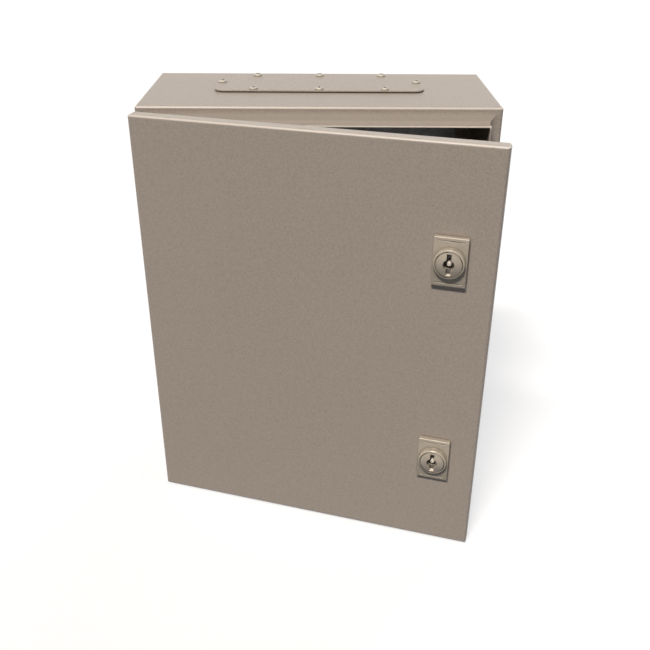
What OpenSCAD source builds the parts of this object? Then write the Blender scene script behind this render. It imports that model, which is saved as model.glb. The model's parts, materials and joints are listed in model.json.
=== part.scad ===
// Wall-mounted sheet-steel electrical enclosure with a hinged door, two quarter-turn locks,
// a screwed gland plate in its top and a mounting plate inside.
// Millimetres, +Z up, the door faces -Y. The origin lies on the wall side of the back,
// midway between the four wall-fixing holes.

/* [Enclosure] */
// Overall width
width = 400; // [340:5:600]
// Overall height
height = 500; // [440:5:800]
// Overall depth over the closed door
depth = 200; // [170:5:300]
// Thickness of the body and door sheet
sheet = 1.5; // [1.2:0.1:2]
// Outside radius of the folded edges
bend_r = 3; // [2.5:0.1:4]
// Diameter of the wall-fixing holes
wall_hole_d = 9; // [6:0.5:12]
// Distance of the wall-fixing holes from the outer edges
wall_hole_inset = 30; // [26:1:34]

/* [Front frame] */
// Length of the lip that stands forward round the door opening
lip_len = 20; // [18:0.5:21]
// Inside radius of the bend between flange and lip
lip_bend_r = 11; // [2:0.5:11]
// Space left between the body's hinge leaf and the edge of the door fold at full opening
channel_clear = 4.2; // [3.5:0.1:6]

/* [Door] */
// Angle at which the door stands ajar
door_ajar = 16.5; // [0:0.5:110]
// Widest angle that the door opens to
door_limit = 120; // [100:1:125]
// Depth of the fold round the door
door_fold = 14; // [13:0.5:17]
// Gap between the closed door's fold and the body's flange
door_gap = 12; // [9:0.5:13]
// How far the door's sides stand in from the body's sides
door_side_inset = 0; // [0:0.1:2]
// How far the door's top and bottom stand in from the body's
door_end_inset = 3; // [1:0.5:6]
// Width of the foam seal inside the door
seal_w = 12; // [8:0.5:13]
// Radius of the seal's corners, at the middle of the seal
seal_corner_r = 10; // [7:0.5:16]
// Radius of the seal's crown
seal_crown_r = 7; // [6.6:0.1:9]
// Space between the closed door's seal and the lip
seal_clear = 0.3; // [0.3:0.1:1]

/* [Hinges] */
// Distance of the hinges' middles from the top and bottom of the enclosure
hinge_end = 80; // [60:1:140]
// Least distance of the hinge axis behind the door's front face
hinge_back = 12; // [11:0.5:14]
// Diameter of the hinge pin
hinge_pin_d = 4; // [3:0.5:5]
// Wall of the knuckle round the pin
knuckle_wall = 1.1; // [0.9:0.1:1.6]
// Length of the knuckle on the body
knuckle_len = 22; // [14:1:40]
// Length of each knuckle on the door
ear_len = 10; // [6:1:20]
// Thickness of the hinge leaves
leaf_t = 1.8; // [1.2:0.1:2.2]
// Radial clearance of the pin in the door's knuckles
pin_run_clear = 0.06; // [0.03:0.01:0.1]
// Radial clearance of the pin in the body's knuckle
pin_seat_clear = 0.02; // [0.01:0.01:0.05]
// Clearance between knuckles, and round everything that swings past them
swing_clear = 0.4; // [0.3:0.05:0.8]
// Thickness of the pin's head
pin_head_t = 2; // [1:0.5:3]
// Length of the pin's bare end below the lower knuckle
pin_tail = 3; // [1:0.5:6]

/* [Gland plate] */
// Width of the gland plate
gland_w = 243; // [220:1:280]
// Depth of the gland plate, front to back
gland_d = 85; // [70:5:110]
// Thickness of the gland plate
gland_t = 1.5; // [1.2:0.1:3]
// Corner radius of the gland plate
gland_corner_r = 12; // [4:0.5:14]
// Corner radius of the cut-out under the gland plate
gland_cut_r = 8; // [4:0.5:12]
// Distance from the back of the enclosure to the gland plate
gland_back = 23; // [12:1:40]
// Thickness of the gasket under the gland plate
gland_gasket_t = 1.2; // [1:0.1:4]
// How far the gasket stands in from the plate's edge
gland_gasket_inset = 1; // [0.5:0.1:2]
// Width of the rim between the plate's edge and the cut-out
gland_rim = 14; // [12:0.5:20]
// Distance of the screws from the plate's edge
gland_screw_inset = 6; // [5:0.1:7]
// Spacing of the screws along the front and back edges
gland_screw_pitch = 76; // [60:1:90]
// Diameter of the gland screws
gland_screw_d = 5; // [4:0.5:6]
// Diameter of the gland screw heads
gland_head_d = 10; // [8:0.5:11]
// Height of the gland screw heads
gland_head_h = 2.6; // [2:0.1:4]
// Length of the gland screws below the head
gland_screw_len = 12; // [9:1:16]

/* [Mounting plate] */
// Distance from the sides, top and bottom to the mounting plate
panel_margin = 25; // [20:1:40]
// Thickness of the mounting plate
panel_t = 2; // [1.5:0.1:3]
// Cut of the plate's corners, which frees the wall-fixing holes
panel_corner = 36; // [34:1:50]
// Distance of the studs from the plate's edges
stud_inset = 26; // [24:1:40]
// Diameter of the studs
stud_d = 8; // [6:1:10]
// Diameter of the studs' shoulders
stud_shoulder_d = 14; // [12:1:18]
// Height of the shoulders, which hold the plate off the back
stud_shoulder_h = 12; // [8:1:25]
// Length of the studs in front of their shoulders
stud_len = 15; // [13:1:25]

/* [Earth studs] */
// Diameter of the earth studs
earth_d = 6; // [5:1:8]
// Length of the earth studs
earth_len = 14; // [12:1:20]
// Height of the earth studs above the bottom of the enclosure
earth_height = 45; // [35:1:80]
// Distance of the body's earth stud behind the flange
earth_back = 60; // [30:1:90]
// Distance of the door's earth stud from the hinge axis
earth_side = 45; // [35:1:80]

/* [Locks] */
// Distance from the locks' axes to the door's free edge
lock_edge = 47.5; // [40:0.5:80]
// Distance of the locks' axes from the top and bottom of the enclosure
lock_end = 125; // [90:1:170]
// Width of the lock's face plate
lock_w = 36; // [35:0.5:45]
// Height of the lock's face plate
lock_h = 54.5; // [45:0.5:70]
// Thickness of the lock's face plate
lock_t = 5.5; // [4.5:0.1:7]
// Radius along the face plate's edges
lock_edge_r = 1.2; // [0.5:0.1:2]
// Length of the fine grooves across the face plate, near its ends
groove_len = 27; // [20:0.5:31]
// Width of these grooves
groove_w = 0.9; // [0.6:0.1:1.4]
// Depth of these grooves
groove_depth = 0.5; // [0.3:0.1:1]
// Distance of these grooves from the plate's ends
groove_edge = 4; // [3:0.1:5]
// Thickness of the seal under the face plate
lock_seal_t = 0.5; // [0.5:0.1:2]
// How far that seal stands in from the plate's edge
lock_seal_inset = 1; // [0.5:0.1:2]
// Outside diameter of the raised collar round the turning disc
collar_d = 32.5; // [31.5:0.1:34]
// Height of the collar above the face plate
collar_h = 6; // [1.5:0.1:6.5]
// Chamfer round the collar's face
collar_edge = 0.9; // [0.3:0.1:1.2]
// Diameter of the turning disc
disc_d = 27.6; // [26:0.1:28.5]
// Thickness of the turning disc at its edge
disc_t = 5; // [4.5:0.1:5.5]
// Radius of the disc's domed face
disc_dome_r = 45; // [40:1:120]
// Diameter of the housing's barrel
barrel_d = 22; // [21:0.1:23]
// Width across the barrel's flats
barrel_flats = 20; // [19:0.1:20.5]
// Length of the barrel behind the door's front face
barrel_len = 17; // [14:0.5:20]
// Diameter of the insert's shaft
shaft_d = 16; // [15.5:0.1:17]
// Diameter of the key socket
socket_d = 12; // [11:0.1:12.5]
// Depth of the key socket
socket_depth = 10; // [8:0.5:14]
// Width of the key slot
slot_w = 5; // [3:0.1:6]
// Length of the key slot
slot_len = 23.5; // [18:0.5:24.5]
// Depth of the key slot
slot_depth = 4.5; // [3:0.1:5]
// Diameter of the pin in the key socket
key_pin_d = 5; // [3:0.1:6]
// Depth that the pin is pressed into the insert
key_pin_seat = 6; // [4:0.5:8]
// How far the pin's end stays below the disc's edge
key_pin_drop = 2; // [0:0.5:4]
// Width of the lock nut across its flats
lock_nut_af = 27; // [26:0.5:30]
// Thickness of the lock nut
lock_nut_t = 6; // [4:0.5:8]
// Width of the cam
cam_w = 18; // [15:0.5:22]
// Thickness of the cam
cam_t = 3; // [2:0.1:4]
// How far the locked cam reaches behind the flange, past the lip
cam_hook = 11; // [9:0.5:12]
// Space between the locked cam and the flange
cam_clear = 1.5; // [0.8:0.1:4]
// Length of the cam behind its square hole
cam_tail = 10; // [8:0.5:14]
// Size of the square that carries the cam
cam_square = 8.5; // [8:0.1:10]
// Diameter of the cam's screw
cam_screw_d = 5; // [4:0.5:5]
// Length of the cam's screw below its washer face
cam_screw_len = 12; // [8:0.5:16]
// Spare depth of the cam screw's hole
cam_hole_spare = 2; // [1:0.5:3]
// Diameter of the cam screw's washer face
cam_washer_d = 14; // [13:0.5:17]
// Radial clearance of the insert's shaft in its barrel
shaft_run_clear = 0.08; // [0.03:0.01:0.1]
// Clearance round the turning disc
disc_clear = 0.3; // [0.3:0.05:0.5]
// Clearance of parts that pass through holes
hole_clear = 0.3; // [0.2:0.05:0.5]
// Clearance of threads and pressed pins
thread_clear = 0.03; // [0.01:0.01:0.05]

/* [Hidden] */
$fn = 64;
// Overlap of cutting tools past the faces they cut
cut = 1;

// Body, door and the front frame between them
body_d = depth - door_fold - door_gap;
flange_y = -body_d;
door_front_y = -depth;
door_inner_y = door_front_y + sheet;
door_w = width - 2 * door_side_inset;
door_h = height - 2 * door_end_inset;
inner_bend_r = bend_r - sheet;

// Hinge axis: the knuckle clears the door's side fold, and the fold clears the body's corner
hinge_z = height / 2 - hinge_end;
knuckle_r = hinge_pin_d / 2 + knuckle_wall;
hinge_inset = sheet + swing_clear + knuckle_r;
corner_reach = hinge_inset * (1 - cos(door_limit)) - door_side_inset * cos(door_limit);
hinge_forward = max((corner_reach + swing_clear) / sin(door_limit), door_fold + door_gap - hinge_back);
hinge_x = -door_w / 2 + hinge_inset;
hinge_y = flange_y - hinge_forward;

// Where the rear edge of the hinge-side fold stands at full opening, seen from the hinge axis
tip_y = hinge_forward - door_gap;
tip_angle = atan2(tip_y, -hinge_inset) - door_limit;
tip_reach = norm([hinge_inset, tip_y]) * cos(max(0, tip_angle));
fold_inner = hinge_inset - sheet;
tip_inner_angle = atan2(tip_y, -fold_inner) - door_limit;
tip_inner_y = norm([fold_inner, tip_y]) * sin(tip_inner_angle);

// The flange is as wide as that swing and the body's hinge leaf need
flange_w = door_side_inset + hinge_inset + tip_reach + channel_clear + leaf_t;
lip_w = width - 2 * flange_w;
lip_h = height - 2 * flange_w;
lip_front_y = flange_y - lip_len;
flange_lap = (flange_w - lip_bend_r - bend_r) / 2;
seal_t = lip_front_y - seal_clear - door_inner_y;

// Hinge stack along the pin
ear_start = knuckle_len / 2 + swing_clear;
ear_end = ear_start + ear_len;

// Gland plate and its screws
top_z = height / 2;
gland_y = -gland_back - gland_d / 2;
gland_z = top_z + gland_gasket_t;
gland_row_y = gland_d / 2 - gland_screw_inset;
gland_end_x = gland_w / 2 - gland_screw_inset;
gland_screws = [
    for (x = [-1:1], side = [-1, 1]) [x * gland_screw_pitch, gland_y + side * gland_row_y],
    for (side = [-1, 1]) [side * gland_end_x, gland_y]
];
recess_w = 0.14 * gland_head_d;
recess_len = 0.62 * gland_head_d;

// Mounting plate and its studs
panel_w = width - 2 * panel_margin;
panel_h = height - 2 * panel_margin;
panel_y = -sheet - stud_shoulder_h;
stud_x = panel_w / 2 - stud_inset;
stud_z = panel_h / 2 - stud_inset;
wall_hole_x = width / 2 - wall_hole_inset;
wall_hole_z = height / 2 - wall_hole_inset;

// Lock axes, in the closed door
lock_x = door_w / 2 - lock_edge;
lock_z = height / 2 - lock_end;
plate_top = lock_seal_t + lock_t;
groove_y = lock_h / 2 - groove_edge;
disc_edge = plate_top + collar_h - 0.5 * disc_clear;
disc_floor = disc_edge - disc_t;
cam_front = door_front_y - (flange_y + sheet + cam_clear);
cam_back = cam_front - cam_t;
cam_reach = width / 2 - flange_w + cam_hook - lock_x;
socket_floor = disc_edge - socket_depth;

paint = [0.72, 0.68, 0.62];
galvanised = [0.70, 0.72, 0.74];
bright_zinc = [0.78, 0.78, 0.76];
lock_metal = [0.74, 0.71, 0.64];
foam = [0.16, 0.16, 0.17];

// Shapes that repeat

module rounded_rect(w, h, r) {
    square([w - 2 * r, h], center = true);
    square([w, h - 2 * r], center = true);
    for (sx = [-1, 1], sy = [-1, 1])
        translate([sx * (w / 2 - r), sy * (h / 2 - r)])
            circle(r);
}

// A block whose twelve edges are rounded, as three crossing profiles leave it
module rounded_block(w, d, h, r) {
    intersection() {
        linear_extrude(h, center = true)
            rounded_rect(w, d, r);
        rotate([90, 0, 0])
            linear_extrude(d, center = true)
                rounded_rect(w, h, r);
        rotate([90, 0, 90])
            linear_extrude(w, center = true)
                rounded_rect(d, h, r);
    }
}

// The front half of such a block: its rounded face at z = h, its flat back at z = 0
module rounded_slab(w, d, h, r) {
    intersection() {
        rounded_block(w, d, 2 * h, r);
        translate([-w, -d, 0])
            cube([2 * w, 2 * d, h]);
    }
}

// Runs a section round a rectangle and mitres its corners.
// In the section, x goes inwards from the rectangle and y goes forward.
module mitred_frame(w, h, reach, front) {
    for (k = [0:3]) {
        along = k % 2 == 0 ? w : h;
        out = k % 2 == 0 ? h / 2 : w / 2;
        rotate([0, 90 * k, 0])
            intersection() {
                translate([0, 0, out])
                    rotate([180, 90, 0])
                        linear_extrude(along, center = true)
                            children();
                translate([0, front, 0])
                    rotate([90, 0, 0])
                        linear_extrude(2 * front)
                            polygon([
                                [-along / 2, out], [along / 2, out],
                                [along / 2 - reach, out - reach], [-along / 2 + reach, out - reach]
                            ]);
            }
    }
}

module hex_nut(af, bore_d, t) {
    difference() {
        intersection() {
            cylinder(h = t, d = af / cos(30), $fn = 6);
            rotate_extrude()
                polygon([
                    [0, 0], [af / 2, 0], [af / cos(30) / 2, 0.1 * t],
                    [af / cos(30) / 2, 0.9 * t], [af / 2, t], [0, t]
                ]);
        }
        translate([0, 0, -cut])
            cylinder(h = t + 2 * cut, d = bore_d);
    }
}

module flat_washer(d, bore_d, t) {
    difference() {
        cylinder(h = t, d = d);
        translate([0, 0, -cut])
            cylinder(h = t + 2 * cut, d = bore_d);
    }
}

// A round bar with a chamfered free end at z = length
module stud_bar(d, length, chamfer) {
    rotate_extrude()
        polygon([[0, 0], [d / 2, 0], [d / 2, length - chamfer], [d / 2 - chamfer, length], [0, length]]);
}

// Standard sizes that follow the thread
function nut_af(d) = 1.6 * d + 0.4;
function nut_t(d) = 0.8 * d;
function washer_d(d) = 2 * d;
function washer_t(d) = 0.2 * d;
function thread_hole(d) = d + 2 * thread_clear;

// Places

// Turns what is modelled on the closed door to where the door stands ajar
module on_door() {
    translate([hinge_x, hinge_y, 0])
        rotate([0, 0, -door_ajar])
            translate([-hinge_x, -hinge_y, 0])
                children();
}

// Lock frame: z = 0 on the door's front face and +z outwards, y up
module at_lock(z) {
    on_door()
        translate([lock_x, door_front_y, z])
            rotate([90, 0, 0])
                children();
}

// Hinge frame: x and y from the hinge axis of the closed door, z = 0 at the knuckle's middle
module at_hinge(z) {
    translate([hinge_x, hinge_y, z])
        children();
}

module at_studs() {
    for (sx = [-1, 1], sz = [-1, 1])
        translate([sx * stud_x, -sheet, sz * stud_z])
            rotate([90, 0, 0])
                children();
}

module at_body_earth() {
    translate([-width / 2 + sheet, flange_y + earth_back, -height / 2 + earth_height])
        rotate([0, 90, 0])
            children();
}

module at_door_earth() {
    on_door()
        translate([hinge_x + earth_side, door_inner_y, -height / 2 + earth_height])
            rotate([-90, 0, 0])
                children();
}

// Body

module lip_section() {
    intersection() {
        translate([flange_w - lip_bend_r, lip_bend_r])
            difference() {
                circle(lip_bend_r + sheet);
                circle(lip_bend_r);
            }
        translate([flange_w - lip_bend_r, -sheet])
            square(lip_bend_r + sheet);
    }
    translate([flange_w, lip_bend_r])
        square([sheet, lip_len - lip_bend_r]);
    translate([flange_w - lip_bend_r - flange_lap, -sheet])
        square([flange_lap, sheet]);
}

module body_shell() {
    flange_edge = 2 * (flange_w - lip_bend_r);
    difference() {
        translate([0, -body_d / 2, 0])
            rounded_block(width, body_d, height, bend_r);
        translate([0, -body_d / 2, 0])
            rounded_block(width - 2 * sheet, body_d - 2 * sheet, height - 2 * sheet, inner_bend_r);
        translate([-width / 2 + flange_edge / 2, flange_y - cut, -height / 2 + flange_edge / 2])
            cube([width - flange_edge, sheet + 2 * cut, height - flange_edge]);
    }
}

module enclosure_body() color(paint) {
    difference() {
        union() {
            body_shell();
            translate([0, flange_y, 0])
                mitred_frame(width, height, flange_w + 2 * sheet, 2 * lip_len)
                    lip_section();
        }
        translate([0, gland_y, top_z - sheet - cut])
            linear_extrude(sheet + 2 * cut)
                rounded_rect(gland_w - 2 * gland_rim, gland_d - 2 * gland_rim, gland_cut_r);
        for (p = gland_screws)
            translate([p[0], p[1], top_z - sheet - cut])
                cylinder(h = sheet + 2 * cut, d = thread_hole(gland_screw_d));
        for (sx = [-1, 1], sz = [-1, 1])
            translate([sx * wall_hole_x, cut, sz * wall_hole_z])
                rotate([90, 0, 0])
                    cylinder(h = sheet + 2 * cut, d = wall_hole_d);
    }
}

// Gland plate

module gland_plate() color(paint) {
    difference() {
        translate([0, gland_y, gland_z])
            linear_extrude(gland_t)
                rounded_rect(gland_w, gland_d, gland_corner_r);
        for (p = gland_screws)
            translate([p[0], p[1], gland_z - cut])
                cylinder(h = gland_t + 2 * cut, d = gland_screw_d + 2 * hole_clear);
    }
}

module gland_plate_gasket() color(foam) {
    inset = 2 * gland_gasket_inset;
    difference() {
        translate([0, gland_y, top_z])
            linear_extrude(gland_gasket_t)
                difference() {
                    rounded_rect(gland_w - inset, gland_d - inset, gland_corner_r - gland_gasket_inset);
                    rounded_rect(gland_w - 2 * gland_rim, gland_d - 2 * gland_rim, gland_cut_r);
                }
        for (p = gland_screws)
            translate([p[0], p[1], top_z - cut])
                cylinder(h = gland_gasket_t + 2 * cut, d = gland_screw_d + 2 * hole_clear);
    }
}

// Pan head with a cross recess; the underside of the head is at z = 0
module pan_screw(d, length, head_d, head_h) {
    edge_r = 0.6 * head_h;
    translate([0, 0, -length])
        stud_bar(d, length + cut, 0);
    difference() {
        rotate_extrude() {
            square([head_d / 2, head_h - edge_r]);
            square([head_d / 2 - edge_r, head_h]);
            translate([head_d / 2 - edge_r, head_h - edge_r])
                intersection() {
                    circle(edge_r);
                    square(edge_r);
                }
        }
        for (turn = [0, 90])
            rotate([0, 0, turn])
                translate([-recess_len / 2, -recess_w / 2, 0.4 * head_h])
                    cube([recess_len, recess_w, head_h]);
    }
}

module gland_plate_screws() color(bright_zinc) {
    for (i = [0:len(gland_screws) - 1])
        translate([gland_screws[i][0], gland_screws[i][1], gland_z + gland_t])
            rotate([0, 0, 25 + 37 * i])
                pan_screw(gland_screw_d, gland_screw_len, gland_head_d, gland_head_h);
}

// Mounting plate

module mounting_plate() color(galvanised) {
    x = panel_w / 2;
    z = panel_h / 2;
    c = panel_corner;
    difference() {
        translate([0, panel_y, 0])
            rotate([90, 0, 0])
                linear_extrude(panel_t)
                    polygon([
                        [-x + c, -z], [x - c, -z], [x, -z + c], [x, z - c],
                        [x - c, z], [-x + c, z], [-x, z - c], [-x, -z + c]
                    ]);
        at_studs()
            cylinder(h = stud_shoulder_h + panel_t + cut, d = stud_d + 2 * hole_clear);
    }
}

module mounting_plate_studs() color(bright_zinc) {
    at_studs() {
        cylinder(h = stud_shoulder_h, d = stud_shoulder_d);
        stud_bar(stud_d, stud_shoulder_h + stud_len, 0.1 * stud_d);
    }
}

module mounting_plate_washers() color(bright_zinc) {
    at_studs()
        translate([0, 0, stud_shoulder_h + panel_t])
            flat_washer(washer_d(stud_d), stud_d + 2 * hole_clear, washer_t(stud_d));
}

module mounting_plate_nuts() color(bright_zinc) {
    at_studs()
        translate([0, 0, stud_shoulder_h + panel_t + washer_t(stud_d)])
            hex_nut(nut_af(stud_d), thread_hole(stud_d), nut_t(stud_d));
}

// Earth studs, each with a washer and a nut

module earth_stud() color(bright_zinc) {
    stud_bar(earth_d, earth_len, 0.1 * earth_d);
    cylinder(h = washer_t(earth_d), d = washer_d(earth_d));
}

module earth_washer() color(bright_zinc) {
    translate([0, 0, washer_t(earth_d)])
        flat_washer(washer_d(earth_d), earth_d + 2 * hole_clear, washer_t(earth_d));
}

module earth_nut() color(bright_zinc) {
    translate([0, 0, 2 * washer_t(earth_d)])
        hex_nut(nut_af(earth_d), thread_hole(earth_d), nut_t(earth_d));
}

// Hinges: the body's leaf is welded to the lip, the door's leaf to the door's side fold

module body_hinge(z) color(paint) {
    lip_x = -lip_w / 2 - hinge_x;
    arm_back = min(0, tip_inner_y) - swing_clear;
    leaf_front = hinge_forward - lip_len + sheet;
    leaf_back = hinge_forward - lip_bend_r - sheet;
    at_hinge(z)
        linear_extrude(knuckle_len, center = true)
            difference() {
                union() {
                    circle(knuckle_r);
                    translate([0, -knuckle_r])
                        square([lip_x, knuckle_r + arm_back]);
                    translate([lip_x - leaf_t, leaf_front])
                        square([leaf_t, leaf_back - leaf_front]);
                }
                circle(hinge_pin_d / 2 + pin_seat_clear);
            }
}

module door_hinge(z) color(paint) {
    leaf_front = door_inner_y + inner_bend_r - hinge_y;
    leaf_back = -knuckle_r - swing_clear;
    on_door()
        at_hinge(z) {
            translate([-fold_inner, leaf_front, -ear_end])
                cube([leaf_t, leaf_back - leaf_front, 2 * ear_end]);
            for (side = [-1, 1])
                translate([0, 0, side * (ear_start + ear_len / 2)])
                    linear_extrude(ear_len, center = true)
                        difference() {
                            union() {
                                circle(knuckle_r);
                                translate([-fold_inner, leaf_front])
                                    square([leaf_t, -leaf_front]);
                            }
                            circle(hinge_pin_d / 2 + pin_run_clear);
                        }
        }
}

module hinge_pin(z) color(bright_zinc) {
    at_hinge(z) {
        mirror([0, 0, 1])
            stud_bar(hinge_pin_d, ear_end + pin_tail, 0.2 * hinge_pin_d);
        cylinder(h = ear_end + swing_clear, d = hinge_pin_d);
        translate([0, 0, ear_end + swing_clear])
            stud_bar(2 * knuckle_r, pin_head_t, 0.2 * pin_head_t);
    }
}

// Door

// A barrel with two flats, and the cut-out that takes it
module barrel_outline(clear) {
    intersection() {
        circle(d = barrel_d + 2 * clear);
        square([barrel_flats + 2 * clear, barrel_d + 2 * clear], center = true);
    }
}

module door_panel() color(paint) {
    difference() {
        on_door()
            difference() {
                translate([0, door_front_y + door_fold, 0])
                    rotate([90, 0, 0])
                        rounded_slab(door_w, door_h, door_fold, bend_r);
                translate([0, door_inner_y + door_fold, 0])
                    rotate([90, 0, 0])
                        rounded_slab(door_w - 2 * sheet, door_h - 2 * sheet, door_fold, inner_bend_r);
            }
        for (z = [-lock_z, lock_z])
            at_lock(z)
                translate([0, 0, -sheet - cut])
                    linear_extrude(sheet + 2 * cut)
                        barrel_outline(hole_clear);
    }
}

// Section of the foam bead: x across the bead, y from the door's inner face
module seal_section() {
    intersection() {
        translate([-seal_w / 2, 0])
            square([seal_w, seal_t]);
        translate([0, seal_t - seal_crown_r])
            circle(seal_crown_r);
    }
}

module door_seal() color(foam) {
    straight_x = lip_w - sheet - 2 * seal_corner_r;
    straight_z = lip_h - sheet - 2 * seal_corner_r;
    on_door()
        translate([0, door_inner_y, 0])
            rotate([-90, 0, 0]) {
                for (side = [0, 180])
                    rotate([0, 0, side]) {
                        translate([straight_x / 2 + seal_corner_r, 0, 0])
                            rotate([90, 0, 0])
                                linear_extrude(straight_z, center = true)
                                    seal_section();
                        translate([0, straight_z / 2 + seal_corner_r, 0])
                            rotate([90, 0, 90])
                                linear_extrude(straight_x, center = true)
                                    seal_section();
                        translate([straight_x / 2, straight_z / 2, 0])
                            rotate_extrude(angle = 90)
                                translate([seal_corner_r, 0])
                                    seal_section();
                        translate([-straight_x / 2, straight_z / 2, 0])
                            rotate([0, 0, 90])
                                rotate_extrude(angle = 90)
                                    translate([seal_corner_r, 0])
                                        seal_section();
                    }
            }
}

// Locks

module lock_housing(z) color(lock_metal) {
    bore_d = shaft_d + 2 * shaft_run_clear;
    pocket_d = disc_d + 2 * disc_clear;
    at_lock(z)
        difference() {
            union() {
                translate([0, 0, lock_seal_t])
                    rounded_slab(lock_w, lock_h, lock_t, lock_edge_r);
                translate([0, 0, plate_top])
                    stud_bar(collar_d, collar_h, collar_edge);
                translate([0, 0, -barrel_len])
                    linear_extrude(barrel_len + lock_seal_t)
                        barrel_outline(0);
            }
            translate([0, 0, disc_floor - disc_clear])
                cylinder(h = disc_t + collar_h, d = pocket_d);
            translate([0, 0, -barrel_len - cut])
                cylinder(h = barrel_len + cut + disc_floor, d = bore_d);
            for (side = [-1, 1])
                translate([-groove_len / 2, side * groove_y - groove_w / 2, plate_top - groove_depth])
                    cube([groove_len, groove_w, groove_depth + cut]);
        }
}

module lock_seal(z) color(foam) {
    inset = 2 * lock_seal_inset;
    at_lock(z)
        linear_extrude(lock_seal_t)
            difference() {
                rounded_rect(lock_w - inset, lock_h - inset, lock_edge_r);
                barrel_outline(hole_clear);
            }
}

module lock_nut(z) color(bright_zinc) {
    at_lock(z)
        translate([0, 0, -sheet - lock_nut_t])
            hex_nut(lock_nut_af, thread_hole(barrel_d), lock_nut_t);
}

// The turning insert: domed disc, shaft, and a square with a screw hole for the cam
module lock_insert(z) color(lock_metal) {
    dome_rise = disc_dome_r - sqrt(pow(disc_dome_r, 2) - pow(disc_d / 2, 2));
    at_lock(z)
        difference() {
            union() {
                rotate_extrude()
                    intersection() {
                        translate([0, disc_floor])
                            square([disc_d / 2, disc_t + dome_rise]);
                        translate([0, disc_edge + dome_rise - disc_dome_r])
                            circle(disc_dome_r, $fn = 180);
                    }
                translate([0, 0, cam_front])
                    cylinder(h = disc_floor - cam_front, d = shaft_d);
                translate([-cam_square / 2, -cam_square / 2, cam_back + thread_clear])
                    cube([cam_square, cam_square, cam_t]);
            }
            translate([0, 0, socket_floor])
                cylinder(h = socket_depth + dome_rise + cut, d = socket_d);
            translate([-slot_w / 2, -slot_len / 2, disc_edge - slot_depth])
                cube([slot_w, slot_len, slot_depth + dome_rise + cut]);
            translate([0, 0, socket_floor - key_pin_seat])
                cylinder(h = key_pin_seat + cut, d = thread_hole(key_pin_d));
            translate([0, 0, cam_back - cut])
                cylinder(h = cam_screw_len + cam_hole_spare + cut, d = thread_hole(cam_screw_d));
        }
}

module key_pin(z) color(bright_zinc) {
    at_lock(z)
        translate([0, 0, socket_floor - key_pin_seat])
            stud_bar(key_pin_d, key_pin_seat + socket_depth - key_pin_drop, 0.15 * key_pin_d);
}

// The cam points up while the lock is open
module lock_cam(z) color(bright_zinc) {
    hole = cam_square + 2 * thread_clear;
    at_lock(z)
        translate([0, 0, cam_back])
            linear_extrude(cam_t)
                difference() {
                    union() {
                        translate([-cam_w / 2, 0])
                            square([cam_w, cam_reach - cam_w / 2]);
                        translate([0, cam_reach - cam_w / 2])
                            circle(d = cam_w);
                        translate([-cam_w / 2, -cam_tail])
                            square([cam_w, cam_tail]);
                    }
                    square(hole, center = true);
                }
}

module cam_screw(z) color(bright_zinc) {
    head_t = washer_t(cam_screw_d) + nut_t(cam_screw_d);
    at_lock(z)
        translate([0, 0, cam_back])
            mirror([0, 0, 1]) {
                translate([0, 0, -cam_screw_len])
                    stud_bar(cam_screw_d, cam_screw_len + cut, 0);
                cylinder(h = washer_t(cam_screw_d), d = cam_washer_d);
                cylinder(h = head_t, d = nut_af(cam_screw_d) / cos(30), $fn = 6);
            }
}

enclosure_body();
gland_plate();
gland_plate_gasket();
gland_plate_screws();
mounting_plate();
mounting_plate_studs();
mounting_plate_washers();
mounting_plate_nuts();
at_body_earth() earth_stud();  // body_earth_stud
at_body_earth() earth_washer();  // body_earth_washer
at_body_earth() earth_nut();  // body_earth_nut
body_hinge(hinge_z);  // upper_body_hinge
body_hinge(-hinge_z);  // lower_body_hinge
hinge_pin(hinge_z);  // upper_hinge_pin
hinge_pin(-hinge_z);  // lower_hinge_pin
door_panel();
door_seal();
door_hinge(hinge_z);  // upper_door_hinge
door_hinge(-hinge_z);  // lower_door_hinge
at_door_earth() earth_stud();  // door_earth_stud
at_door_earth() earth_washer();  // door_earth_washer
at_door_earth() earth_nut();  // door_earth_nut
lock_housing(lock_z);  // upper_lock_housing
lock_seal(lock_z);  // upper_lock_seal
lock_nut(lock_z);  // upper_lock_nut
lock_housing(-lock_z);  // lower_lock_housing
lock_seal(-lock_z);  // lower_lock_seal
lock_nut(-lock_z);  // lower_lock_nut
lock_insert(lock_z);  // upper_lock_insert
key_pin(lock_z);  // upper_key_pin
lock_cam(lock_z);  // upper_lock_cam
cam_screw(lock_z);  // upper_cam_screw
lock_insert(-lock_z);  // lower_lock_insert
key_pin(-lock_z);  // lower_key_pin
lock_cam(-lock_z);  // lower_lock_cam
cam_screw(-lock_z);  // lower_cam_screw
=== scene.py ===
"""Looks of the wall-mounted enclosure: camera, studio, materials and the pieces that Blender models itself."""

import json
from math import cos, pi, radians, sin, sqrt, tau

import bpy
from mathutils import Matrix, Vector, noise


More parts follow.
